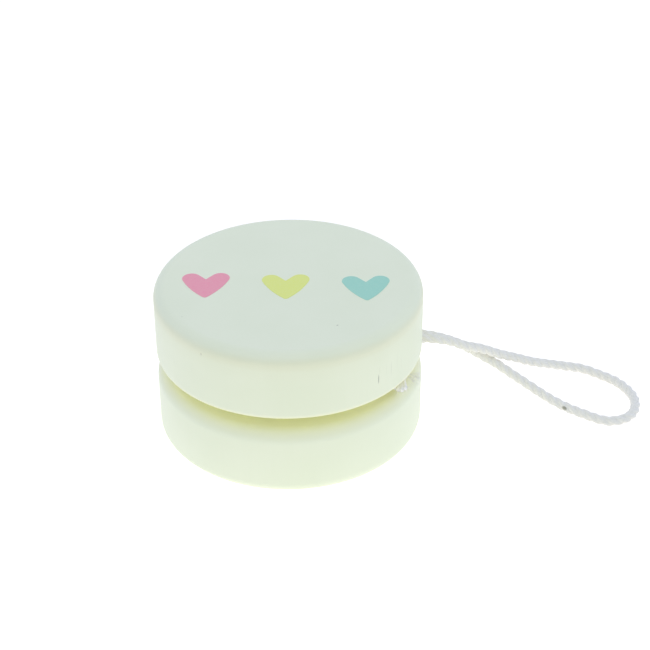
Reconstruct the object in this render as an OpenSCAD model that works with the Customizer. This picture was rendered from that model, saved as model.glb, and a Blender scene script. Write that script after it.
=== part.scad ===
// Wooden yo-yo, lying on its lower face with its finger loop drawn out to the right.
// Two turned halves are glued to a dowel. A cotton string is looped round the dowel so that it can slip,
// winds outwards in the gap between the halves and ends in a knotted finger loop.
// Millimetres, +Z up along the dowel, origin at the middle of the lower face.

/* [Halves] */
// Diameter of each half
half_d = 55; // [48:0.5:70]
// Thickness of each half
half_t = 14.75; // [12:0.25:20]
// Gap between the halves, where the string winds
string_gap = 3.5; // [3.2:0.1:6]
// Rounding of the upper half's outer edge
top_edge_r = 2.4; // [0.5:0.1:4]
// Rounding of the upper half's edge beside the gap
upper_gap_edge_r = 0.7; // [0.4:0.1:3]
// Rounding of the lower half's edge beside the gap
lower_gap_edge_r = 2.5; // [0.4:0.1:3]
// Rounding of the lower half's outer edge
bottom_edge_r = 2.2; // [0.5:0.1:4]

/* [Axle] */
// Diameter of the dowel
axle_d = 8; // [6:0.5:12]
// Depth of the dowel's blind hole in each half
axle_seat = 9; // [5:0.5:11]

/* [Hearts] */
// Width of a heart
heart_w = 9.7; // [8:0.1:12]
// Height of a heart, from its lobes to its point
heart_h = 9.3; // [8:0.1:12]
// Depth of the notch between the lobes
heart_notch = 2.4; // [1.5:0.1:3.5]
// Radius of a lobe
lobe_r = 1.9; // [1.2:0.1:2.2]
// Radius of the long curve from a lobe to the point
side_r = 17.5; // [12:0.5:60]
// Rounding of the point
tip_r = 0.6; // [0.2:0.1:1]
// Distance from one heart to the next
heart_step = 16.3; // [12.5:0.1:17.5]
// Turn of the row of hearts, in degrees
row_turn = -4.1; // [-180:0.1:180]
// Turn of each heart, in degrees
heart_turn = -0.4; // [-180:0.1:180]
// Middle heart's place to the right of the axle
row_x = -0.5; // [-3:0.1:3]
// Middle heart's place behind the axle
row_y = -1.9; // [-3:0.1:3]
// Thickness of the printed colour
print_t = 0.05; // [0.02:0.01:0.2]

/* [String] */
// Diameter of the twisted string
string_d = 1.8; // [1.2:0.1:2]
// Running clearance between the dowel and the string's loop, on the radius
axle_play = 0.05; // [0.02:0.01:0.1]
// Depth to which the dowel has worn the loop flat
loop_flat = 0.2; // [0.1:0.05:0.4]
// Gap from one turn of the winding to the next
turn_gap = 0.45; // [0.42:0.01:1]
// Distance from the rim in to the winding
wind_inset = 6.5; // [6:0.5:10]

/* [Knots] */
// Width of the slip knot at the dowel
slip_knot_w = 2.8; // [2.4:0.1:3.4]
// Height of the slip knot
slip_knot_h = 2.4; // [2:0.1:2.7]
// Gap between the loop and the string that leaves the slip knot
slip_clear = 0.1; // [0.05:0.05:0.2]
// Width of the knot at the finger loop
loop_knot_w = 5; // [4:0.1:6]
// Height of the knot at the finger loop
loop_knot_h = 3; // [2.2:0.1:3.1]
// Distance from the rim in to the knot's middle, measured to the right
knot_inset = 4.8; // [4:0.1:6]
// Distance of the knot's middle in front of the axle
knot_front = 9.2; // [8:0.1:10]
// Depth to which the string's ends reach into the knot
knot_bite = 0.9; // [0.5:0.1:1.2]
// Length of the frayed tail
tail_l = 5; // [4:0.5:8]
// Depth to which the frayed tail reaches into the knot
tail_bite = 0.4; // [0.1:0.1:0.6]
// Width of the frayed tail at its end
tail_end_w = 3; // [1.8:0.1:4]
// Direction of the frayed tail, in degrees from the right
tail_turn = -88; // [-95:1:-45]

/* [Hidden] */
half_r = half_d / 2;
string_r = string_d / 2;
gap_mid = half_t + string_gap / 2;
top_z = 2 * half_t + string_gap;
// How far a cut runs past the face that it opens
cut_past = 1;

// The string's loop round the dowel
loop_bore_r = axle_d / 2 + axle_play;
loop_mid_r = loop_bore_r + string_r - loop_flat;

// The slip knot, whose outgoing string runs straight for one string diameter
slip_r = loop_mid_r + string_d + slip_clear;
slip_lead = slip_knot_w / 2 + string_d;

// The winding: a flat spiral that leaves straight for the finger loop's knot
knot_at = [half_r - knot_inset, -knot_front, gap_mid];
knot_r = norm([knot_at.x, knot_at.y]);
knot_a = atan2(knot_at.y, knot_at.x);
knot_root = loop_knot_w / 2 - knot_bite;
tail_root = loop_knot_w / 2 - tail_bite;
wind_pitch = string_d + turn_gap;
wind_r0 = norm([slip_r, slip_lead]) + turn_gap;
wind_r1 = half_r - wind_inset - string_r;
wind_turns = (wind_r1 - wind_r0) / wind_pitch;
wind_a1 = knot_a - acos(wind_r1 / knot_r);
wind_a0 = wind_a1 - 360 * wind_turns;
slip_a = wind_a0 - 2 * atan2(slip_lead, slip_r);
rings_per_turn = 24;
wind_rings = ceil(wind_turns * rings_per_turn);

// The finger loop's route, out of the knot, round the gap and back: distance beyond the rim to the right,
// distance behind the axle, and share of the way up from lying on the table to the middle of the gap
loop_route = [
    [-4, -7.9, 1], [-4.4, -5.2, 1], [-4.6, -2.4, 1], [-3.9, 0.3, 1], [-2, 2.3, 1], [0.8, 3.2, 1],
    [3.4, 3.5, 0.97], [6.4, 4.2, 0.9], [9.7, 4.7, 0.8], [13.6, 6.1, 0.68], [17.2, 7.1, 0.55],
    [21.1, 8.2, 0.43], [25, 9.2, 0.31], [28.7, 10.5, 0.21], [32.7, 11.3, 0.13], [36.6, 11.7, 0.06],
    [40, 10.6, 0.01], [43.1, 8.2, 0], [45, 5.3, 0], [46.1, 2, 0], [45.9, -1.5, 0], [44.5, -4.5, 0],
    [41.8, -6.3, 0], [38.6, -6.4, 0], [34.2, -4.1, 0.02], [30.7, -2.3, 0.06], [27.2, 0, 0.12], [24, 2.2, 0.2],
    [20.4, 4.5, 0.3], [16.9, 6.4, 0.41], [13.6, 7.6, 0.51], [11, 7.7, 0.62], [8, 7.2, 0.75], [4.4, 6.2, 0.88],
    [0.8, 5.6, 0.96], [-2, 5, 0.99], [-4.4, 3.4, 1], [-6.2, 0.6, 1], [-6.9, -2.8, 1], [-6, -8.1, 1]
];

// Colours
paint = [0.93, 0.95, 0.85];
bare_wood = [0.85, 0.7, 0.5];
pink = [0.88, 0.58, 0.7];
yellow = [0.84, 0.88, 0.52];
blue = [0.56, 0.8, 0.79];
cotton = [0.92, 0.92, 0.89];

// Points of an arc, from one angle to another
function arc(middle, r, from, to, steps) =
    [for (i = [0:steps]) let (a = from + (to - from) * i / steps) middle + r * [cos(a), sin(a)]];

// The point that lies at the distance to_p from p and to_q from q, to the left of the line from p to q
function left_meeting(p, to_p, q, to_q) =
    let (
        span = norm(q - p),
        u = (q - p) / span,
        along = (to_p * to_p - to_q * to_q + span * span) / (2 * span),
        aside = sqrt(to_p * to_p - along * along)
    )
    p + along * u + aside * [-u.y, u.x];

function angle_of(v) = atan2(v.y, v.x);

// Right half of a heart, from its notch round the lobe and down to its point
function heart_right() =
    let (
        notch = [0, heart_h / 2 - heart_notch],
        lobe = [heart_w / 2 - lobe_r, heart_h / 2 - lobe_r],
        tip = [0, tip_r - heart_h / 2],
        side = left_meeting(tip, side_r - tip_r, lobe, side_r - lobe_r),
        lobe_start = angle_of(lobe - notch) + asin(lobe_r / norm(lobe - notch)) + 90,
        lobe_end = angle_of(lobe - side),
        tip_start = angle_of(tip - side),
        side_points = arc(side, side_r, lobe_end, tip_start, 8)
    )
    concat(
        [notch],
        arc(lobe, lobe_r, lobe_start, lobe_end, 20),
        [for (i = [1:len(side_points) - 2]) side_points[i]],
        arc(tip, tip_r, tip_start, -90, 5)
    );

function heart_outline() =
    let (right = heart_right())
    concat(right, [for (i = [len(right) - 2:-1:1]) [-right[i].x, right[i].y]]);

// A point at the radius r and angle a round the axle, in the middle of the gap
function in_gap(r, a) = [r * cos(a), r * sin(a), gap_mid];

// The string from the slip knot, round and round the dowel, to the finger loop's knot
function winding_path() =
    let (
        slip = in_gap(slip_r, slip_a),
        ahead = [-sin(slip_a), cos(slip_a), 0],
        leave = in_gap(wind_r1, wind_a1)
    )
    concat(
        [slip, slip + slip_lead * ahead],
        [for (i = [0:wind_rings]) let (share = i / wind_rings)
            in_gap(wind_r0 + (wind_r1 - wind_r0) * share, wind_a0 + (wind_a1 - wind_a0) * share)],
        [knot_at - knot_root * unit(knot_at - leave)]
    );

// The least gap between stretches of a string that are half a turn or more apart
function least_gap(path) =
    min([for (i = [0:len(path) - 1], j = [i + rings_per_turn / 2:1:len(path) - 1]) norm(path[i] - path[j])])
    - string_d;

function unit(v) = v / norm(v);

// A ring of points square to a path, at its point i
function ring(path, i, sides) =
    let (
        ahead = unit(path[min(i + 1, len(path) - 1)] - path[max(i - 1, 0)]),
        right = unit(cross(ahead, [0, 0, 1])),
        up = cross(right, ahead)
    )
    [for (k = [0:sides - 1]) let (a = 360 * k / sides) path[i] + string_r * (cos(a) * right + sin(a) * up)];

// A string along a path
module string_along(path, sides) {
    last = (len(path) - 1) * sides;
    wall = [for (i = [0:sides:last - sides], k = [0:sides - 1]) let (next = (k + 1) % sides)
        each [[i + k, i + next, i + sides + next], [i + k, i + sides + next, i + sides + k]]];
    ends = [for (k = [1:sides - 2]) each [[0, k + 1, k], [last, last + k, last + k + 1]]];
    polyhedron([for (i = [0:len(path) - 1]) each ring(path, i, sides)], concat(wall, ends));
}

// A knot drawn tight in the gap: a pebble, round from above and full round at its edge
module pebble(width, height) {
    rotate_extrude($fn = 48)
        intersection() {
            union() {
                translate([0, -height / 2]) square([width / 2 - height / 2, height]);
                translate([width / 2 - height / 2, 0]) circle(height / 2, $fn = 48);
            }
            translate([0, -height]) square([width, 2 * height]);
        }
}

// Outline of a half, from the axle to the rim, lying on its outer face
module half_outline(outer_r, gap_r) {
    square([half_r - outer_r, half_t / 2]);
    translate([0, half_t / 2]) square([half_r - gap_r, half_t / 2]);
    translate([0, outer_r]) square([half_r, half_t - outer_r - gap_r]);
    translate([half_r - outer_r, outer_r]) circle(outer_r, $fn = 64);
    translate([half_r - gap_r, half_t - gap_r]) circle(gap_r, $fn = 64);
}

// A turned half with the dowel's blind hole in its inner face
module half(outer_r, gap_r) {
    difference() {
        rotate_extrude($fn = 180) half_outline(outer_r, gap_r);
        translate([0, 0, half_t - axle_seat]) cylinder(d = axle_d, h = axle_seat + cut_past, $fn = 64);
    }
}

module lower_half() {
    color(paint) half(bottom_edge_r, lower_gap_edge_r);
}

module upper_half() {
    color(paint) translate([0, 0, top_z]) mirror([0, 0, 1]) half(top_edge_r, upper_gap_edge_r);
}

module axle_dowel() {
    color(bare_wood)
        translate([0, 0, half_t - axle_seat])
            cylinder(d = axle_d, h = string_gap + 2 * axle_seat, $fn = 64);
}

// A heart printed on the upper face, at its place in the row
module heart(place) {
    translate([row_x, row_y, top_z])
        rotate(row_turn)
            translate([place * heart_step, 0, 0])
                rotate(heart_turn - row_turn)
                    linear_extrude(print_t) polygon(heart_outline());
}

module pink_heart() {
    color(pink) heart(-1);
}

module yellow_heart() {
    color(yellow) heart(0);
}

module blue_heart() {
    color(blue) heart(1);
}

// The loop that slips on the dowel, worn flat where it bears on it
module axle_loop() {
    color(cotton)
        translate([0, 0, gap_mid])
            rotate_extrude($fn = 96)
                difference() {
                    translate([loop_mid_r, 0]) circle(string_r, $fn = 48);
                    translate([0, -string_d]) square([loop_bore_r, 2 * string_d]);
                }
}

module slip_knot() {
    color(cotton) translate(in_gap(slip_r, slip_a)) pebble(slip_knot_w, slip_knot_h);
}

module string_winding() {
    color(cotton) string_along(winding_path(), 6);
}

module loop_knot() {
    color(cotton) translate(knot_at) pebble(loop_knot_w, loop_knot_h);
}

module finger_loop() {
    path = [for (p = loop_route) [half_r + p[0], p[1], string_r + p[2] * (gap_mid - string_r)]];
    color(cotton) string_along(path, 8);
}

// The short end beyond the knot, frayed open into a flat fan
module frayed_tail() {
    root = string_r;
    end = tail_end_w / 2;
    reach = tail_root + tail_l;
    color(cotton)
        translate(knot_at - [0, 0, string_r])
            rotate(tail_turn)
                linear_extrude(string_d)
                    polygon([[tail_root, -root], [reach, -end], [reach, end], [tail_root, root]]);
}

echo(least_gap_of_the_winding = least_gap(winding_path()));

lower_half();
upper_half();
axle_dowel();
pink_heart();
yellow_heart();
blue_heart();
axle_loop();
slip_knot();
string_winding();
loop_knot();
finger_loop();
frayed_tail();
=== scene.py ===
# %% [markdown]
# # A wooden yo-yo with three printed hearts
#
# The toy is two turned halves glued to a dowel, a print of three hearts and one twisted cotton string.
# The hard pieces come from the CAD model at their real size, so here they only need their finish.
# The string is a plain tube in that model. It is laid again here as what it is: a cord of three strands.

# %% Load the solid pieces
import math
import random

import bpy
import numpy as np
from mathutils import Matrix, Vector
from mathutils.geometry import interpolate_bezier


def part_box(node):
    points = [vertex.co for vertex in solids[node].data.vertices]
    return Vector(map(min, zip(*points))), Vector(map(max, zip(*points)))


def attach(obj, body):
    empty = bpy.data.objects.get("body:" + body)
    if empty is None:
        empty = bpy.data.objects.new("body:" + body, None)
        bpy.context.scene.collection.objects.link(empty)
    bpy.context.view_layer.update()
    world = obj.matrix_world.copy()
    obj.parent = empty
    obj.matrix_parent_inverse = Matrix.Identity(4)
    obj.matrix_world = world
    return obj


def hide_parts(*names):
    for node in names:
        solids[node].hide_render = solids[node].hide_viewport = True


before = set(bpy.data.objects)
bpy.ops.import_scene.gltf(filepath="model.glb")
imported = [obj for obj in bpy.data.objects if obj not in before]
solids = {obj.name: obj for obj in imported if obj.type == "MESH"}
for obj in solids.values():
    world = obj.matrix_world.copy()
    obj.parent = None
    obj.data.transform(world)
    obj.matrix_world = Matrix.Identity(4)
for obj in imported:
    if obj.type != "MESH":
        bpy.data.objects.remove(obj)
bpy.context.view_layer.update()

mm = 0.001
print("Solid pieces:", ", ".join(sorted(solids)))

# %% [markdown]
# ## The camera
#
# The picture was taken from a little above, with a long lens, so the toy hardly narrows towards the back.
# A camera could be aimed with a constraint, but here its tilt was worked out from the outline of both discs,
# so it is turned by three angles: down, to the right, and a slight lean.

# %% Place the camera
picture_px = 650
focal_px = 1750.2
sensor_width = 36.0
nearest_seen = 10 * mm
camera_back = 303.8 * mm
camera_up = 218.2 * mm
looks_down = math.radians(32.8)
looks_right = math.radians(1.4)
leans = math.radians(-0.45)

camera = bpy.data.objects.new("camera", bpy.data.cameras.new("camera"))
camera.data.sensor_width = sensor_width
camera.data.lens = focal_px / picture_px * sensor_width
camera.data.clip_start = nearest_seen
camera.matrix_world = (
    Matrix.Translation((0, -camera_back, camera_up))
    @ Matrix.Rotation(-looks_right, 4, "Z")
    @ Matrix.Rotation(math.pi / 2 - looks_down, 4, "X")
    @ Matrix.Rotation(leans, 4, "Z")
)
bpy.context.scene.collection.objects.link(camera)
bpy.context.scene.camera = camera
print(f"Lens: {camera.data.lens:.1f} mm")

# %% [markdown]
# ## Where the string runs
#
# The string is tied round the dowel, winds outwards in the gap and ends in a knotted finger loop, which lies
# out to the right on the table. A physics simulation could drop it there, but the loop has to lie where the
# real one lies, so its route is a list of points, joined by one smooth line of Bezier pieces.

# %% Sizes of the string and of the gap that it winds in
string_r = 0.9 * mm
string_d = 2 * string_r
half_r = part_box("upper_half")[1].x
dowel_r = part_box("axle_dowel")[1].x
gap_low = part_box("lower_half")[1].z
gap_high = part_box("upper_half")[0].z
gap_mid = (gap_low + gap_high) / 2
knot_inset = 4.8 * mm
knot_forward = 9.2 * mm
knot_at = Vector((half_r - knot_inset, -knot_forward, gap_mid))
print(f"The gap is {(gap_high - gap_low) / mm:.2f} mm wide, the string {string_d / mm:.1f} mm thick")


# %% A smooth line through points
def smooth_line(points, step):
    """Points about a step apart, on a smooth line through the given points."""
    line = []
    last = len(points) - 1
    for i in range(last):
        here, there = points[i], points[i + 1]
        reach = (there - here).length / 3
        leaves = (there - points[max(i - 1, 0)]).normalized()
        arrives = (points[min(i + 2, last)] - here).normalized()
        count = max(2, round(3 * reach / step) + 1)
        line += interpolate_bezier(here, here + reach * leaves, there - reach * arrives, there, count)[:-1]
    return line + [points[last]]


def line_length(line):
    return sum((b - a).length for a, b in zip(line, line[1:]))


# %% The finger loop's route
# Distance beyond the rim and behind the axle in millimetres, and share of the way up to the middle of the gap
loop_route = [
    (-4, -7.9, 1), (-4.4, -5.2, 1), (-4.6, -2.4, 1), (-3.9, 0.3, 1), (-2, 2.3, 1), (0.8, 3.2, 1),
    (3.4, 3.5, 0.97), (6.4, 4.2, 0.9), (9.7, 4.7, 0.8), (13.6, 6.1, 0.68), (17.2, 7.1, 0.55),
    (21.1, 8.2, 0.43), (25, 9.2, 0.31), (28.7, 10.5, 0.21), (32.7, 11.3, 0.13), (36.6, 11.7, 0.06),
    (40, 10.6, 0.01), (43.1, 8.2, 0), (45, 5.3, 0), (46.1, 2, 0), (45.9, -1.5, 0), (44.5, -4.5, 0),
    (41.8, -6.3, 0), (38.6, -6.4, 0), (34.2, -4.1, 0.02), (30.7, -2.3, 0.06), (27.2, 0, 0.12), (24, 2.2, 0.2),
    (20.4, 4.5, 0.3), (16.9, 6.4, 0.41), (13.6, 7.6, 0.51), (11, 7.7, 0.62), (8, 7.2, 0.75), (4.4, 6.2, 0.88),
    (0.8, 5.6, 0.96), (-2, 5, 0.99), (-4.4, 3.4, 1), (-6.2, 0.6, 1), (-6.9, -2.8, 1), (-6, -8.1, 1),
]
loop_step = 0.3 * mm
# Out in the open the strands spring apart a little, so the loop is thicker than the string in the gap
loop_swell = 1.16
loop_rest = loop_swell * string_r


def loop_point(beyond, behind, share):
    return Vector((half_r + beyond * mm, behind * mm, loop_rest + share * (gap_mid - loop_rest)))


loop_line = smooth_line([loop_point(*p) for p in loop_route], loop_step)
print(f"Finger loop: {line_length(loop_line) / mm:.0f} mm of string")

# %% The winding's route
axle_play = 0.05 * mm
loop_flat = 0.2 * mm
slip_clear = 0.1 * mm
slip_knot_w = 2.8 * mm
slip_knot_h = 2.4 * mm
turn_gap = 0.45 * mm
wind_inset = 6.5 * mm
knot_root = 1.6 * mm
points_per_turn = 24
wind_step = 0.45 * mm


def in_gap(radius, angle):
    return Vector((radius * math.cos(angle), radius * math.sin(angle), gap_mid))


axle_loop_r = dowel_r + axle_play + string_r - loop_flat
slip_r = axle_loop_r + string_d + slip_clear
slip_lead = slip_knot_w / 2 + string_d
wind_r0 = math.hypot(slip_r, slip_lead) + turn_gap
wind_r1 = half_r - wind_inset - string_r
wind_turns = (wind_r1 - wind_r0) / (string_d + turn_gap)
wind_a1 = math.atan2(knot_at.y, knot_at.x) - math.acos(wind_r1 / math.hypot(knot_at.x, knot_at.y))
wind_a0 = wind_a1 - 2 * math.pi * wind_turns
slip_a = wind_a0 - 2 * math.atan2(slip_lead, slip_r)
slip_at = in_gap(slip_r, slip_a)
wind_points = [slip_at, slip_at + slip_lead * Vector((-math.sin(slip_a), math.cos(slip_a), 0))]
point_count = math.ceil(wind_turns * points_per_turn)
for i in range(point_count + 1):
    share = i / point_count
    wind_points.append(in_gap(wind_r0 + share * (wind_r1 - wind_r0), wind_a0 + share * (wind_a1 - wind_a0)))
wind_points.append(knot_at - knot_root * (knot_at - wind_points[-1]).normalized())
wind_line = smooth_line(wind_points, wind_step)
print(f"Winding: {wind_turns:.1f} turns, {line_length(wind_line) / mm:.0f} mm of string")

# %% [markdown]
# ## A cord of three strands
#
# A twisted cord seen end on is three round strands pressed together, and that outline turns steadily along
# the cord. Three separate tubes could be wound round each other, but they would run into each other inside.
# One tube with a three-lobed outline is cleaner: it is a single closed skin, and its grooves are real.
# Each point also remembers its place on the cord before that was bent, which the cotton's finish reads later.

# %% Sweep an outline along a line
up = np.array((0.0, 0.0, 1.0))


def unit_rows(rows):
    return rows / np.linalg.norm(rows, axis=1, keepdims=True)


def distance_along(places):
    """How far each point of a line lies from its start."""
    return np.concatenate(([0.0], np.cumsum(np.linalg.norm(np.diff(places, axis=0), axis=1))))


def steady_frames(line):
    """The points of a line, with directions ahead, right and over at each, which don't spin round it."""
    places = np.array(line, float)
    ahead = unit_rows(np.gradient(places, axis=0))
    right = np.cross(ahead[0], up)
    rights = []
    for direction in ahead:
        right = right - direction * (right @ direction)
        right = right / np.linalg.norm(right)
        rights.append(right)
    rights = np.array(rights)
    return places, ahead, rights, np.cross(rights, ahead)


def sweep(line, turns, radii):
    """A closed tube: its points, its faces and each point's place on the straight cord."""
    places, _, rights, overs = steady_frames(line)
    along = distance_along(places)
    across = (radii * np.cos(2 * math.pi * turns))[..., None]
    upward = (radii * np.sin(2 * math.pi * turns))[..., None]
    rings = places[:, None] + across * rights[:, None] + upward * overs[:, None]
    straight = np.concatenate((across, upward, np.broadcast_to(along[:, None, None], across.shape)), axis=2)
    count, sides = turns.shape
    points = np.concatenate((rings.reshape(-1, 3), places[[0, -1]]))
    tips = np.array([[0, 0, 0], [0, 0, along[-1]]])
    straight = np.concatenate((straight.reshape(-1, 3), tips))
    first_tip = count * sides
    last_ring = first_tip - sides
    faces = []
    for k in range(sides):
        n = (k + 1) % sides
        faces += [(i + k, i + n, i + sides + n, i + sides + k) for i in range(0, last_ring, sides)]
        faces += [(first_tip, n, k), (first_tip + 1, last_ring + k, last_ring + n)]
    return points, faces, straight


# %% Turn swept tubes into a piece
def new_piece(name, tubes):
    """One smooth mesh of the given tubes, with the attribute straight_place."""
    points, faces, straight = [], [], []
    total = 0
    for tube_points, tube_faces, tube_straight in tubes:
        points.append(tube_points)
        straight.append(tube_straight)
        faces += [tuple(i + total for i in face) for face in tube_faces]
        total += len(tube_points)
    mesh = bpy.data.meshes.new(name)
    mesh.from_pydata(np.concatenate(points).tolist(), [], faces)
    attribute = mesh.attributes.new("straight_place", "FLOAT_VECTOR", "POINT")
    attribute.data.foreach_set("vector", np.concatenate(straight).astype(np.float32).ravel())
    mesh.shade_smooth()
    piece = bpy.data.objects.new(name, mesh)
    bpy.context.scene.collection.objects.link(piece)
    print(f"{name}: {len(mesh.vertices)} points")
    return piece


# %% Lay a twisted cord
strand_count = 3
strand_r = 0.58 * mm
lay_length = 5.5 * mm
shown_sides = 12
hidden_sides = 8


def twisted_tube(line, sides_per_strand, thickness=1.0):
    """A tube with a three-lobed outline that turns right-handed along the line."""
    along = distance_along(np.array(line, float))
    sides = strand_count * sides_per_strand
    around = np.arange(sides) / sides
    from_crest = ((around * strand_count + 0.5) % 1 - 0.5) * 2 * math.pi / strand_count
    strand_out = string_r - strand_r
    sideways = strand_out * np.sin(from_crest)
    outline = strand_out * np.cos(from_crest) + np.sqrt(strand_r**2 - sideways**2)
    turns = around[None, :] - along[:, None] / (lay_length * thickness)
    return sweep(line, turns, np.broadcast_to(outline * thickness, turns.shape))


finger_loop = new_piece("finger_loop_cord", [twisted_tube(loop_line, shown_sides, loop_swell)])
winding = new_piece("winding_cord", [twisted_tube(wind_line, hidden_sides)])

# %% [markdown]
# ## The loop round the dowel
#
# The string's inner end is a loop that slips on the dowel, so the toy can spin at the end of its string.
# The dowel has worn the loop flat on the inside. A ring could be cut with a boolean, but it is enough to push
# the points that reach into the dowel outwards, as the dowel itself does.

# %% Lay the loop and press it against the dowel
axle_loop_steps = 90
knot_opening = math.radians(14)
loop_sweep = 2 * math.pi - 2 * knot_opening
axle_loop_line = [
    in_gap(axle_loop_r, slip_a + knot_opening + loop_sweep * i / axle_loop_steps)
    for i in range(axle_loop_steps + 1)
]
axle_loop = new_piece("axle_loop_cord", [twisted_tube(axle_loop_line, hidden_sides)])
bore_r = dowel_r + axle_play
for point in axle_loop.data.vertices:
    reach = math.hypot(point.co.x, point.co.y)
    if reach < bore_r:
        point.co.x *= bore_r / reach
        point.co.y *= bore_r / reach
print(f"The loop's bore: {2 * bore_r / mm:.1f} mm")

# %% [markdown]
# ## The knots
#
# A knot that is drawn tight shows a few turns of string, packed side by side over a hidden core.
# The true path of an overhand knot could be followed, but inside a gap of 3.5 mm it would cut through itself.
# So each knot is a short coil that swells in the middle, of string that is squeezed thinner than elsewhere.

# %% Wrap the string into a knot
steps_per_wrap = 36
knot_end = 0.08
knot_fullness = 0.4


def wrapped_tube(middle, heading, wide, tall, wraps, squeeze):
    """Turns of squeezed string round a level axis through the middle of a knot."""
    ahead = Vector((math.cos(heading), math.sin(heading), 0))
    aside = Vector((-math.sin(heading), math.cos(heading), 0))
    skyward = Vector(up)
    thin_r = string_r * squeeze
    wrap_r = tall / 2 - thin_r
    steps = round(wraps * steps_per_wrap)
    line = []
    for i in range(steps + 1):
        share = i / steps
        turn = 2 * math.pi * wraps * share
        swell = wrap_r * math.sin(math.pi * (knot_end + (1 - 2 * knot_end) * share)) ** knot_fullness
        axial = (share - 0.5) * (wide - 2 * thin_r)
        line.append(middle + axial * ahead + swell * (math.cos(turn) * aside + math.sin(turn) * skyward))
    return twisted_tube(line, hidden_sides, squeeze)


# %% Tie the two knots
loop_knot_w = 5 * mm
loop_knot_h = 3 * mm
loop_knot_heading = math.radians(80)
loop_knot_wraps = 2.6
loop_knot_squeeze = 0.72
slip_knot_wraps = 2.2
slip_knot_squeeze = 0.55
loop_coil = wrapped_tube(
    knot_at, loop_knot_heading, loop_knot_w, loop_knot_h, loop_knot_wraps, loop_knot_squeeze
)
slip_coil = wrapped_tube(slip_at, slip_a, slip_knot_w, slip_knot_h, slip_knot_wraps, slip_knot_squeeze)
loop_knot = new_piece("loop_knot_cord", [loop_coil])
slip_knot = new_piece("slip_knot_cord", [slip_coil])

# %% [markdown]
# ## Frayed cotton
#
# Beside the knot, the string's cut end has opened into loose strands with short fibres on them, and a haze of
# the finest fibres stands out next to it. The rest of the string is a little hairy too.
# Blender's hair system would do for a picture, but not for a model, so strands and fibres are tapered tubes.
# The fibres are bent at random from a fixed seed, so every run grows the same ones.

# %% Grow a fibre
fibre_sides = 3
fibre_steps = 5
fibre_taper = 0.75


def fibre(start, direction, bend, length, thick):
    """A tapered tube that starts along a direction and bends aside."""
    line = []
    for i in range(fibre_steps + 1):
        share = i / fibre_steps
        line.append(start + length * (share * direction + share * share * bend))
    turns = np.broadcast_to(np.arange(fibre_sides) / fibre_sides, (fibre_steps + 1, fibre_sides))
    radii = thick / 2 * (1 - fibre_taper * np.linspace(0, 1, fibre_steps + 1))
    return sweep(line, turns, np.broadcast_to(radii[:, None], turns.shape))


def any_direction(chance):
    return Vector((chance.gauss(0, 1), chance.gauss(0, 1), chance.gauss(0, 1))).normalized()


def level_direction(angle):
    return Vector((math.cos(angle), math.sin(angle), 0))


# %% Open the cut end into its strands
# Each strand's heading in degrees, then its reach and its rise in millimetres
loose_strands = [(-105, 5.2, 0.5), (-99, 5.8, 0.5), (-93, 6.1, 0.6), (-87, 5.5, 0.6)]
tail_root = 1.3 * mm
tail_steps = 14
tail_sides = 12
tail_thick = 0.9
tail_thinning = 0.15
strand_turns = np.broadcast_to(np.arange(tail_sides) / tail_sides, (tail_steps + 1, tail_sides))
strand_taper = strand_r * (tail_thick - tail_thinning * np.linspace(0, 1, tail_steps + 1) ** 2)
strand_radii = np.broadcast_to(strand_taper[:, None], strand_turns.shape)


def strand_route(ahead, reach, rise):
    """The line of one loose strand, which starts level and lifts towards its end."""
    line = []
    for i in range(tail_steps + 1):
        share = i / tail_steps
        risen = Vector((0, 0, share**2 * rise * mm))
        line.append(knot_at + (tail_root + share * reach * mm) * ahead + risen)
    return line


# %% Let short fibres stand off the strands
fray_seed = 11
fibres_per_strand = 20
smooth_steps = 4
fray_spread = 0.35
fray_flatten = 0.6
fray_bend = 0.35
fray_bend_flatten = 0.4
fray_sag = 0.1
fray_thicknesses = (0.05, 0.08, 0.12)
fray_lengths = (0.6, 1.5)
chance = random.Random(fray_seed)
strand_tubes = []
for heading, reach, rise in loose_strands:
    strand_ahead = level_direction(math.radians(heading))
    strand_line = strand_route(strand_ahead, reach, rise)
    strand_tubes.append(sweep(strand_line, strand_turns, strand_radii))
    for _ in range(fibres_per_strand):
        i = chance.randrange(smooth_steps, tail_steps + 1)
        start = strand_line[i] + float(strand_taper[i]) * any_direction(chance)
        direction = (strand_ahead + fray_spread * any_direction(chance)).normalized()
        direction.z *= fray_flatten
        bend = fray_bend * any_direction(chance)
        bend.z = fray_bend_flatten * bend.z - fray_sag
        thick = chance.choice(fray_thicknesses) * mm
        length = chance.uniform(*fray_lengths) * mm
        strand_tubes.append(fibre(start, direction, bend, length, thick))
frayed_tail = new_piece("frayed_tail_strands", strand_tubes)

# %% Fan out the finest fibres
haze_seed = 3
haze_count = 90
haze_headings = (-62, -4)
haze_rises = (-0.25, 0.1)
haze_roots = (1.6, 3.4)
haze_bend = 0.3
haze_bend_flatten = 0.3
haze_lengths = (1.2, 3.8)
haze_thick = 0.03 * mm
chance = random.Random(haze_seed)
haze_tubes = []
for _ in range(haze_count):
    direction = level_direction(math.radians(chance.uniform(*haze_headings)))
    direction.z = chance.uniform(*haze_rises)
    start = knot_at + chance.uniform(*haze_roots) * mm * direction
    bend = haze_bend * any_direction(chance)
    bend.z = haze_bend_flatten * bend.z
    haze_tubes.append(fibre(start, direction, bend, chance.uniform(*haze_lengths) * mm, haze_thick))
frayed_fibres = new_piece("frayed_tail_fibres", haze_tubes)

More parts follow.
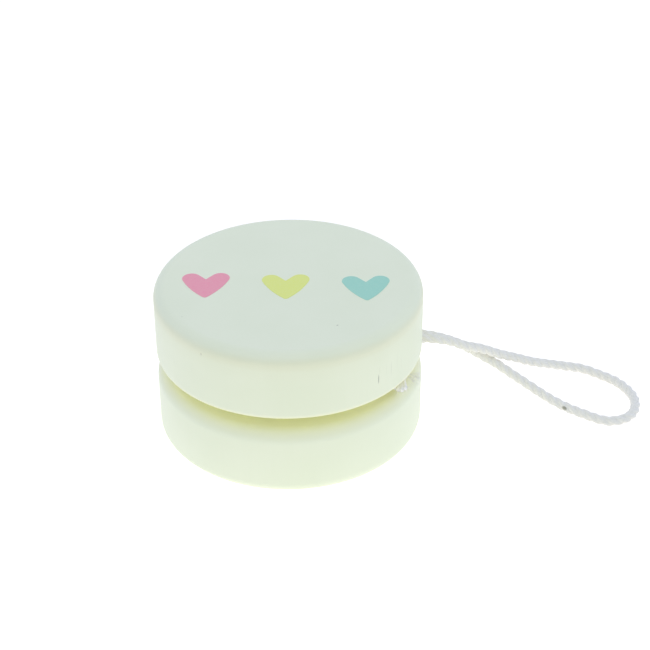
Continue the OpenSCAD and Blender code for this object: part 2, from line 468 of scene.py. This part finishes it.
# %% Grow the string's stray hairs
hair_seed = 5
hair_count = 420
points_in_gap = 70
hair_root = 0.8
hair_rise = 0.55
hair_curl = 0.3
hair_lengths = (0.5, 1.3)
hair_thick = 0.025 * mm
chance = random.Random(hair_seed)
places, ahead, rights, overs = steady_frames(loop_line)
hair_tubes = []
for _ in range(hair_count):
    i = chance.randrange(points_in_gap, len(loop_line) - points_in_gap)
    turn = chance.uniform(0, 2 * math.pi)
    outward = Vector(math.cos(turn) * rights[i] + math.sin(turn) * overs[i])
    start = Vector(places[i]) + hair_root * string_r * outward
    direction = (hair_rise * outward + chance.choice((-1, 1)) * Vector(ahead[i])).normalized()
    bend = hair_curl * outward + hair_curl * any_direction(chance)
    hair = fibre(start, direction, bend, chance.uniform(*hair_lengths) * mm, hair_thick)
    if hair[0][:, 2].min() > 0:
        hair_tubes.append(hair)
stray_hairs = new_piece("stray_hairs", hair_tubes)

string_pieces = {
    "axle_loop": axle_loop,
    "slip_knot": slip_knot,
    "string_winding": winding,
    "loop_knot": loop_knot,
    "finger_loop": finger_loop,
    "frayed_tail": frayed_tail,
}
for node, piece in string_pieces.items():
    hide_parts(node)
for piece in [*string_pieces.values(), frayed_fibres, stray_hairs]:
    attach(piece, "string")
print("The string stands for", ", ".join(string_pieces))

# %% [markdown]
# ## Shader nodes by short calls
#
# A finish is a tree of nodes. Adding and linking each by hand makes long code, so a few small helpers do it:
# they add a node, set or link its inputs, and most give back the socket that carries its result.


# %% Helpers for shader nodes
def add_node(tree, kind, inputs, **settings):
    """A new node. An input is set to a number or colour, or linked to another node's output."""
    node = tree.nodes.new(kind)
    for name, value in settings.items():
        setattr(node, name, value)
    for name, value in inputs.items():
        if isinstance(value, bpy.types.NodeSocket):
            tree.links.new(value, node.inputs[name])
        else:
            node.inputs[name].default_value = value
    return node


def object_place(tree):
    return tree.nodes.new("ShaderNodeTexCoord").outputs["Object"]


def work_out(tree, operation, *values):
    return add_node(tree, "ShaderNodeMath", dict(enumerate(values)), operation=operation).outputs[0]


def length_of(tree, vector):
    return add_node(tree, "ShaderNodeVectorMath", {0: vector}, operation="LENGTH").outputs["Value"]


def axes_of(tree, vector):
    return add_node(tree, "ShaderNodeSeparateXYZ", {0: vector}).outputs


def mix_colours(tree, share, first, second):
    colours = {0: share, 6: first, 7: second}
    return add_node(tree, "ShaderNodeMix", colours, data_type="RGBA").outputs[2]


def between(tree, value, low, high, start=0.0, end=1.0):
    """A value stretched from the range low to high onto the range start to end."""
    inputs = {"Value": value, "From Min": low, "From Max": high, "To Min": start, "To Max": end}
    return add_node(tree, "ShaderNodeMapRange", inputs).outputs[0]


def noise_of(tree, place, scale, detail=2.0, roughness=0.5):
    inputs = {"Vector": place, "Scale": scale, "Detail": detail, "Roughness": roughness}
    return add_node(tree, "ShaderNodeTexNoise", inputs).outputs[0]


# %% Helpers for groups and finishes
def new_group(name, inputs, outputs):
    """An empty node group with its sockets."""
    group = bpy.data.node_groups.new(name, "ShaderNodeTree")
    for label, kind in inputs.items():
        group.interface.new_socket(label, in_out="INPUT", socket_type=kind)
    for label in outputs:
        group.interface.new_socket(label, in_out="OUTPUT", socket_type="NodeSocketFloat")
    return group, group.nodes.new("NodeGroupInput").outputs, group.nodes.new("NodeGroupOutput").inputs


def use_group(tree, group, inputs):
    return add_node(tree, "ShaderNodeGroup", inputs, node_tree=group).outputs


def new_finish(name):
    finish = bpy.data.materials.new(name)
    finish.use_nodes = True
    return finish, finish.node_tree, finish.node_tree.nodes["Principled BSDF"]


def add_relief(tree, shader, height, relief):
    """Fine relief on a surface, as a bump of the given depth."""
    bump = add_node(tree, "ShaderNodeBump", {"Height": height, "Distance": relief})
    tree.links.new(bump.outputs[0], shader.inputs["Normal"])


def give_finish(piece, finish):
    piece.data.materials.clear()
    piece.data.materials.append(finish)


# %% [markdown]
# ## Painted wood
#
# The halves are turned with the grain along the axle and sprayed off-white. The paint is thin: on the wall
# the grain shows as upright lines, and on the face as pores. Round the upper edge the colour is darker and
# yellower, which is painted shade. Along the edge just above the gap a pale line is a painted highlight,
# and inside the gap the paint is brighter and yellower, which is painted light that lifts the gap's shade.
# The toy has been used, so there are a crack, a few hairlines and flecks. An image could hold all this, but
# a noise drawn out along the axle gives lines and pores by itself, and a band by height goes all the way
# round the toy.

# %% The grain of the wood
grain_stretch = 0.04
grain_detail = 4.0
grain_roughness = 0.6
clouds_per_metre = 70.0
grain_group, taken, given = new_group(
    "Wood grain", {"Lines per metre": "NodeSocketFloat"}, ("Grain", "Clouds")
)
place = object_place(grain_group)
drawn_out = add_node(grain_group, "ShaderNodeMapping", {"Vector": place, "Scale": (1, 1, grain_stretch)})
grain = noise_of(grain_group, drawn_out.outputs[0], taken["Lines per metre"], grain_detail, grain_roughness)
grain_group.links.new(grain, given["Grain"])
grain_group.links.new(noise_of(grain_group, place, clouds_per_metre), given["Clouds"])
print("Group:", grain_group.name)

# %% A band of colour that starts at one height and is full at another
# The middle part of a noise's range, where most of its values lie
noise_middle = (0.3, 0.7)
patches_per_metre = 160.0
patch_detail = 3.0
least_patch = 0.85
height_band_group, taken, given = new_group(
    "Band by height", {"Start": "NodeSocketFloat", "Full": "NodeSocketFloat"}, ("Band",)
)
place = object_place(height_band_group)
inputs = {"Value": axes_of(height_band_group, place)[2], "From Min": taken["Start"], "From Max": taken["Full"]}
rise = add_node(height_band_group, "ShaderNodeMapRange", inputs, interpolation_type="SMOOTHSTEP").outputs[0]
patches = noise_of(height_band_group, place, patches_per_metre, patch_detail)
patchy = between(height_band_group, patches, *noise_middle, least_patch, 1.0)
height_band_group.links.new(work_out(height_band_group, "MULTIPLY", rise, patchy), given["Band"])
print("Group:", height_band_group.name)

# %% A small mark on a surface
# A mark is full up to this share of its reach, and fades out from there
full_share = 0.5
mark_group, taken, given = new_group(
    "Paint mark",
    {"Middle": "NodeSocketVector", "Turn": "NodeSocketVector", "Reach": "NodeSocketVector"},
    ("Mark",),
)
place = object_place(mark_group)
inputs = {"Vector": place, "Location": taken["Middle"], "Rotation": taken["Turn"], "Scale": taken["Reach"]}
inside = add_node(mark_group, "ShaderNodeMapping", inputs, vector_type="TEXTURE").outputs[0]
mark_group.links.new(between(mark_group, length_of(mark_group, inside), 1.0, full_share), given["Mark"])
print("Group:", mark_group.name)

# %% Mix the paint
paint_colour = (0.87, 0.905, 0.70, 1)
paint_shade = (0.85, 0.89, 0.68, 1)
# Also the colour of the painted shadow on the finger loop
crack_and_shadow_colour = (0.30, 0.29, 0.22, 1)
paint_lines = 1500.0
line_strength = 0.3
crack_depth = 2.0
paint_relief = 0.012 * mm
paint_roughness = (0.42, 0.56)
cloud_range = (0.35, 0.65)
line_range = (0.5, 0.75)


def painted_wood(name, bands, marks):
    """Off-white paint on turned wood, with bands of colour by height and marks.

    A band is a colour, its strength, and pairs of heights where it starts and where it is full.
    The bands are painted shade, a painted highlight and painted light.
    """
    finish, tree, shader = new_finish(name)
    grain = use_group(tree, grain_group, {"Lines per metre": paint_lines})
    colour = mix_colours(tree, between(tree, grain["Clouds"], *cloud_range), paint_colour, paint_shade)
    lines = between(tree, grain["Grain"], *line_range, 0.0, line_strength)
    colour = mix_colours(tree, lines, colour, paint_shade)
    for band_colour, strength, *rises in bands:
        share = strength
        for start, full in rises:
            band = use_group(tree, height_band_group, {"Start": start, "Full": full})["Band"]
            share = work_out(tree, "MULTIPLY", share, band)
        colour = mix_colours(tree, share, colour, band_colour)
    height = grain["Grain"]
    for middle, turn, reach, strength in marks:
        inputs = {"Middle": middle, "Turn": (0, 0, turn), "Reach": reach}
        mark = work_out(tree, "MULTIPLY", use_group(tree, mark_group, inputs)["Mark"], strength)
        colour = mix_colours(tree, mark, colour, crack_and_shadow_colour)
        height = work_out(tree, "SUBTRACT", height, work_out(tree, "MULTIPLY", mark, crack_depth))
    tree.links.new(colour, shader.inputs["Base Color"])
    roughness = between(tree, grain["Grain"], *noise_middle, *paint_roughness)
    tree.links.new(roughness, shader.inputs["Roughness"])
    add_relief(tree, shader, height, paint_relief)
    return finish


# %% Place the crack, the hairlines and the flecks
face_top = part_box("upper_half")[1].z
mark_depth = 1 * mm
fleck_turn = 0.4


def wall_mark(angle, low, high, width, strength):
    """A hairline on the wall, upright, from one height to another."""
    turn = math.radians(angle)
    middle = (half_r * math.cos(turn), half_r * math.sin(turn), (low + high) / 2 * mm)
    return middle, turn, (mark_depth, width / 2 * mm, (high - low) / 2 * mm), strength


def face_mark(x, y, across, strength):
    """A fleck on the upper face, a little longer than wide."""
    return (x * mm, y * mm, face_top), fleck_turn, (across / 2 * mm, across / 3 * mm, mark_depth), strength


upper_marks = [
    wall_mark(-50.85, 21.9, 24.5, 0.26, 0.8),
    wall_mark(-50.3, 24, 26.2, 0.2, 0.12),
    wall_mark(-46.5, 22.5, 26.5, 0.2, 0.07),
    wall_mark(-43.45, 22, 26, 0.22, 0.16),
    wall_mark(-39.5, 22.5, 27.5, 0.2, 0.08),
    wall_mark(-36.5, 21.5, 26, 0.2, 0.07),
    wall_mark(-128.6, 29.7, 30.5, 0.5, 0.25),
    face_mark(9.45, -16.69, 0.6, 0.5),
    face_mark(-21.05, -12.42, 0.4, 0.3),
]
print(f"Paint: {len(upper_marks)} small marks on the upper half")

# %% Paint the two halves
# Painted shade: the band round the upper edge is darker and yellower than the paint
upper_edge_shade = (0.80, 0.80, 0.57, 1)
# Painted highlight: a pale line along the upper half's edge, just above the gap
gap_edge_highlight = (0.96, 0.965, 0.70, 1)
# Painted light: brighter, yellower paint in the gap, which lifts its shade
gap_painted_light = (0.945, 0.945, 0.66, 1)
upper_bands = [
    (upper_edge_shade, 0.18, (face_top - 7 * mm, face_top - 3 * mm), (face_top - 1 * mm, face_top - 2 * mm)),
    (upper_edge_shade, 0.5, (face_top - 4 * mm, face_top - 2.4 * mm), (face_top - 0.5 * mm, face_top - 1.7 * mm)),
    (gap_edge_highlight, 0.8, (gap_high + 1.1 * mm, gap_high + 0.5 * mm)),
    (gap_painted_light, 1.0, (gap_high + 0.5 * mm, gap_high + 0.02 * mm)),
]
lower_bands = [(gap_painted_light, 1.0, (gap_low - 2.5 * mm, gap_low - 0.05 * mm))]
give_finish(solids["upper_half"], painted_wood("upper_paint", upper_bands, upper_marks))
give_finish(solids["lower_half"], painted_wood("lower_paint", lower_bands, []))
print(f"Bands: {len(upper_bands)} on the upper half, {len(lower_bands)} on the lower half")

# %% [markdown]
# ## Printed hearts
#
# The hearts are printed on the paint in three pastel inks. An ink could be one flat colour, but a print takes
# unevenly on painted wood: it is paler in small spots, where paint shows through, and as matt as the paint.

# %% Mix the inks
ink_colours = {
    "pink_heart": (0.92, 0.34, 0.43, 1),
    "yellow_heart": (0.82, 0.875, 0.235, 1),
    "blue_heart": (0.36, 0.705, 0.57, 1),
}
ink_fade = 0.14
ink_spots_per_metre = 3500.0
ink_spot_detail = 3.0
ink_spot_roughness = 0.7
ink_spot_range = (0.4, 0.75)
ink_roughness = (0.45, 0.58)


def printed_ink(name, colour):
    finish, tree, shader = new_finish(name)
    grain = use_group(tree, grain_group, {"Lines per metre": paint_lines})
    spots = noise_of(tree, object_place(tree), ink_spots_per_metre, ink_spot_detail, ink_spot_roughness)
    uneven = work_out(tree, "MULTIPLY", between(tree, spots, *ink_spot_range), ink_fade)
    tree.links.new(mix_colours(tree, uneven, colour, paint_colour), shader.inputs["Base Color"])
    roughness = between(tree, grain["Grain"], *noise_middle, *ink_roughness)
    tree.links.new(roughness, shader.inputs["Roughness"])
    add_relief(tree, shader, grain["Grain"], paint_relief)
    return finish


for node, colour in ink_colours.items():
    give_finish(solids[node], printed_ink(node + "_ink", colour))
print("Inks:", ", ".join(ink_colours))

# %% [markdown]
# ## Bare wood
#
# The dowel was never painted. It lies deep in the gap, behind the string, so it hardly ever shows.
# It could have a noise of its own, but the same grain group serves it, with stronger colours.

# %% Finish the dowel
wood_light = (0.66, 0.47, 0.28, 1)
wood_dark = (0.45, 0.28, 0.14, 1)
dowel_lines = 900.0
dowel_range = (0.35, 0.7)
dowel_roughness = (0.55, 0.7)
dowel_relief = 0.03 * mm
bare_wood, tree, shader = new_finish("bare_wood")
grain = use_group(tree, grain_group, {"Lines per metre": dowel_lines})
wood = mix_colours(tree, between(tree, grain["Grain"], *dowel_range), wood_light, wood_dark)
tree.links.new(wood, shader.inputs["Base Color"])
roughness = between(tree, grain["Grain"], *noise_middle, *dowel_roughness)
tree.links.new(roughness, shader.inputs["Roughness"])
add_relief(tree, shader, grain["Grain"], dowel_relief)
give_finish(solids["axle_dowel"], bare_wood)
print("Dowel: bare wood")

# %% [markdown]
# ## Cotton
#
# In a twisted cord the fibres run almost along the cord, because yarn and strand are twisted opposite ways.
# A noise in space would cut across them. This finish reads each point's place on the straight cord instead,
# so its fine lines follow every bend. The grooves between the strands are painted a little darker, which is
# painted shade, one dark spot on the loop is a painted shadow, and the cotton has a faint sheen from its
# loose hairs.

# %% Find the fibres and the grooves of the cord
fibre_stretch = 0.12
fibres_per_metre = 7000.0
fibre_detail = 3.0
fibre_noise = 0.6
crest_share = 0.9
groove_share = 0.66
cotton, tree, shader = new_finish("twisted_cotton")
straight = add_node(tree, "ShaderNodeAttribute", {}, attribute_name="straight_place").outputs["Vector"]
drawn_out = add_node(tree, "ShaderNodeMapping", {"Vector": straight, "Scale": (1, 1, fibre_stretch)})
fibres = noise_of(tree, drawn_out.outputs[0], fibres_per_metre, fibre_detail, fibre_noise)
axes = axes_of(tree, straight)
level = add_node(tree, "ShaderNodeCombineXYZ", {0: axes[0], 1: axes[1]}).outputs[0]
groove = between(tree, length_of(tree, level), crest_share * string_r, groove_share * string_r)
print(f"Grooves: from {crest_share} to {groove_share} of the string's radius")

# %% Spin the cotton
cotton_pale = (0.90, 0.88, 0.82, 1)
cotton_shade = (0.83, 0.805, 0.74, 1)
# Painted shade: the grooves between the strands are darkened a little
groove_shade = (0.46, 0.43, 0.36, 1)
fibre_range = (0.4, 0.7)
groove_shade_strength = 0.14
notch_shadow_strength = 0.85
cotton_roughness = (0.8, 0.95)
cotton_sheen = 0.25
cotton_sheen_roughness = 0.4
cotton_relief = 0.05 * mm
# Painted shadow: a dark spot on the loop, where a notch in the lay lies in shade
notch_shadow_place = {
    "Middle": (57.95 * mm, -3.2 * mm, 2.2 * mm),
    "Turn": (0, 0, -0.6),
    "Reach": (0.75 * mm, 0.3 * mm, 0.6 * mm),
}
colour = mix_colours(tree, between(tree, fibres, *fibre_range), cotton_pale, cotton_shade)
colour = mix_colours(tree, work_out(tree, "MULTIPLY", groove, groove_shade_strength), colour, groove_shade)
notch_shadow = work_out(tree, "MULTIPLY", use_group(tree, mark_group, notch_shadow_place)["Mark"], notch_shadow_strength)
colour = mix_colours(tree, notch_shadow, colour, crack_and_shadow_colour)
tree.links.new(colour, shader.inputs["Base Color"])
tree.links.new(between(tree, fibres, *noise_middle, *cotton_roughness), shader.inputs["Roughness"])
shader.inputs["Sheen Weight"].default_value = cotton_sheen
shader.inputs["Sheen Roughness"].default_value = cotton_sheen_roughness
add_relief(tree, shader, fibres, cotton_relief)
twisted_pieces = [finger_loop, winding, axle_loop, loop_knot, slip_knot]
for piece in twisted_pieces:
    give_finish(piece, cotton)
print("Twisted cotton:", ", ".join(piece.name for piece in twisted_pieces))

# %% Comb the loose fibres
fibre_white = (0.99, 0.98, 0.95, 1)
fibre_shade = (0.96, 0.94, 0.9, 1)
loose_patches_per_metre = 900.0
loose_roughness = 0.85
loose_sheen = 1.0
loose_sheen_roughness = 0.5
light_reach = 0.6 * mm


def loose_cotton(name, let_through):
    """Untwisted cotton, brighter than the cord. A share of the light passes through it."""
    finish, tree, shader = new_finish(name)
    patches = noise_of(tree, object_place(tree), loose_patches_per_metre)
    tree.links.new(mix_colours(tree, patches, fibre_white, fibre_shade), shader.inputs["Base Color"])
    shader.inputs["Roughness"].default_value = loose_roughness
    shader.inputs["Sheen Weight"].default_value = loose_sheen
    shader.inputs["Sheen Roughness"].default_value = loose_sheen_roughness
    shader.inputs["Subsurface Weight"].default_value = let_through
    shader.inputs["Subsurface Radius"].default_value = (1, 1, 1)
    shader.inputs["Subsurface Scale"].default_value = light_reach
    return finish


open_strands = loose_cotton("open_strands", 0.0)
give_finish(frayed_tail, open_strands)
give_finish(frayed_fibres, open_strands)
give_finish(stray_hairs, loose_cotton("fine_fibres", 1.0))
print("Loose cotton: the opened end and the stray hairs")

# %% [markdown]
# ## The glowing table
#
# The toy stands on a glowing white table, which lights its walls from below, so it throws almost no shadow.
# Lamps under milk glass could do that, but one plane that glows by itself is simpler and just as soft.
# It glows most close to the toy, which brightens the foot of the wall. From below it is see-through.

# %% Set the table
floor_size = 3.0
floor_drop = 0.05 * mm
floor_colour = (0.35, 0.35, 0.35, 1)
floor_roughness = 0.9
near_glow = (1.0, 0.99, 0.97, 1)
far_glow = (0.79, 0.77, 0.77, 1)
near_reach = 30 * mm
far_reach = 80 * mm
bpy.ops.object.select_all(action="DESELECT")
bpy.ops.mesh.primitive_plane_add(size=floor_size, location=(0, 0, -floor_drop))
floor = bpy.context.object
floor.name = "light_table"
print(f"Table: {floor_size} m wide")

# %% Let the table glow
table_top, tree, shader = new_finish("light_table")
shader.inputs["Base Color"].default_value = floor_colour
shader.inputs["Roughness"].default_value = floor_roughness
from_toy = length_of(tree, object_place(tree))
glow = mix_colours(tree, between(tree, from_toy, near_reach, far_reach), near_glow, far_glow)
tree.links.new(glow, shader.inputs["Emission Color"])
shader.inputs["Emission Strength"].default_value = 1.0
seen_from_below = tree.nodes.new("ShaderNodeNewGeometry").outputs["Backfacing"]
clear = tree.nodes.new("ShaderNodeBsdfTransparent").outputs[0]
inputs = {0: seen_from_below, 1: shader.outputs[0], 2: clear}
surface = add_node(tree, "ShaderNodeMixShader", inputs).outputs[0]
tree.links.new(surface, tree.nodes["Material Output"].inputs["Surface"])
give_finish(floor, table_top)
print(f"Glow: full up to {near_reach / mm:.0f} mm from the axle, weakest from {far_reach / mm:.0f} mm")

# %% [markdown]
# ## The light tent
#
# Round the table hangs a tent of pale cloth. The world could have one even colour, but on the real toy the
# face is cool, and the wall is warm in front and less so at its sides. So the world's colour is mixed by
# direction from five: four walls, which run into each other, and a roof above them.

# %% Hang the tent
tent = {
    "front": (0.46, 0.53, 0.39, 1),
    "back": (0.65, 0.72, 0.92, 1),
    "left": (0.34, 0.45, 0.76, 1),
    "right": (0.54, 0.67, 0.97, 1),
    "roof": (0.875, 0.915, 1.015, 1),
}
roof_starts = 0.3
roof_full = 0.75
world = bpy.data.worlds.new("light_tent")
world.use_nodes = True
tree = world.node_tree
axes = axes_of(tree, tree.nodes.new("ShaderNodeTexCoord").outputs["Generated"])
x_squared = work_out(tree, "MULTIPLY", axes[0], axes[0])
y_squared = work_out(tree, "MULTIPLY", axes[1], axes[1])
sideways = work_out(tree, "DIVIDE", x_squared, work_out(tree, "ADD", x_squared, y_squared))
front_or_back = mix_colours(tree, work_out(tree, "GREATER_THAN", axes[1], 0.0), tent["front"], tent["back"])
left_or_right = mix_colours(tree, work_out(tree, "GREATER_THAN", axes[0], 0.0), tent["left"], tent["right"])
walls = mix_colours(tree, sideways, front_or_back, left_or_right)
canopy = mix_colours(tree, between(tree, axes[2], roof_starts, roof_full), walls, tent["roof"])
tree.links.new(canopy, tree.nodes["Background"].inputs["Color"])
bpy.context.scene.world = world
print("Tent:", ", ".join(tent))

# %% Let the light bounce in the gap
all_bounces = 32
soft_bounces = 24
bpy.context.scene.view_settings.view_transform = "Standard"
bpy.context.scene.cycles.max_bounces = all_bounces
bpy.context.scene.cycles.diffuse_bounces = soft_bounces
print(f"Light: up to {soft_bounces} soft bounces")
